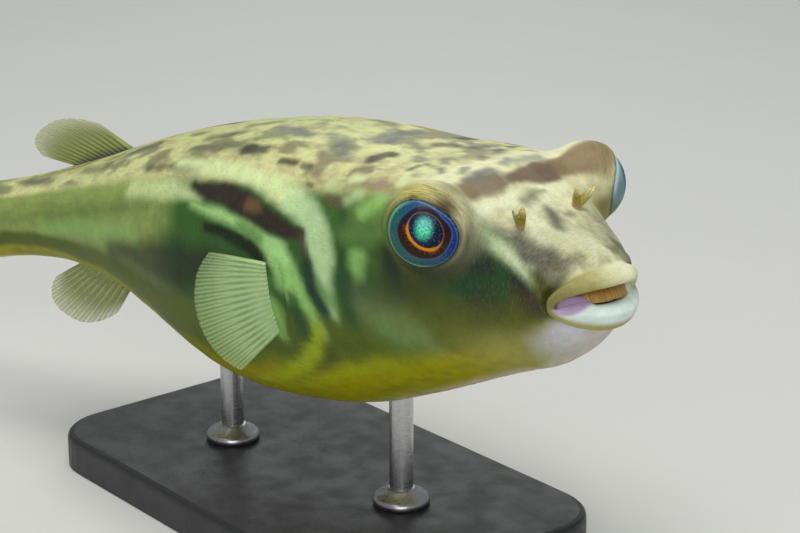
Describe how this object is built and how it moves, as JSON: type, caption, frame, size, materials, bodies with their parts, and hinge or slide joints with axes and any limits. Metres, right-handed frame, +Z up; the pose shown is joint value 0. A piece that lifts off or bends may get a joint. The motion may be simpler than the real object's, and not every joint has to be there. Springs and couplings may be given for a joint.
{
  "type": "freshwater pufferfish, Nile puffer, life-size model on a stand",
  "caption": "Still life-size freshwater pufferfish with bulging eyes, parted lips, small fins and a bent tail, held over a flat base by short rods.",
  "frame": {"origin": "middle of the whole model's footprint, on the surface under the stand's base", "axes": "+X towards the fish's head, +Y to its left, +Z up"},
  "size_m": [0.2358, 0.0888, 0.0914],
  "materials": {
    "skin": "wet, finely prickled skin, cream and olive with dark green-black bands",
    "lip": "smooth cream-yellow lips, bluish white inside the lower one",
    "beak": "smooth stained beak plates",
    "eye": "glossy dark eye with a blue and orange ringed iris",
    "tentacle": "soft brown-yellow nostril tentacles",
    "fin": "thin translucent yellowish fins with rays",
    "base": "satin black",
    "rod": "brushed"
  },
  "bodies": {
    "root": {"head": "skin", "trunk": "skin", "tail": "skin", "upper_lip": "lip", "lower_lip": "lip", "beak_upper": "beak", "beak_lower": "beak", "eye_right": "eye", "eye_left": "eye", "nostril_right": "tentacle", "nostril_left": "tentacle", "dorsal_fin": "fin", "anal_fin": "fin", "caudal_fin": "fin", "pectoral_right": "fin", "pectoral_left": "fin", "stand_base": "base", "stand_rod_front": "rod", "stand_rod_rear": "rod"}
  },
  "joints": []
}
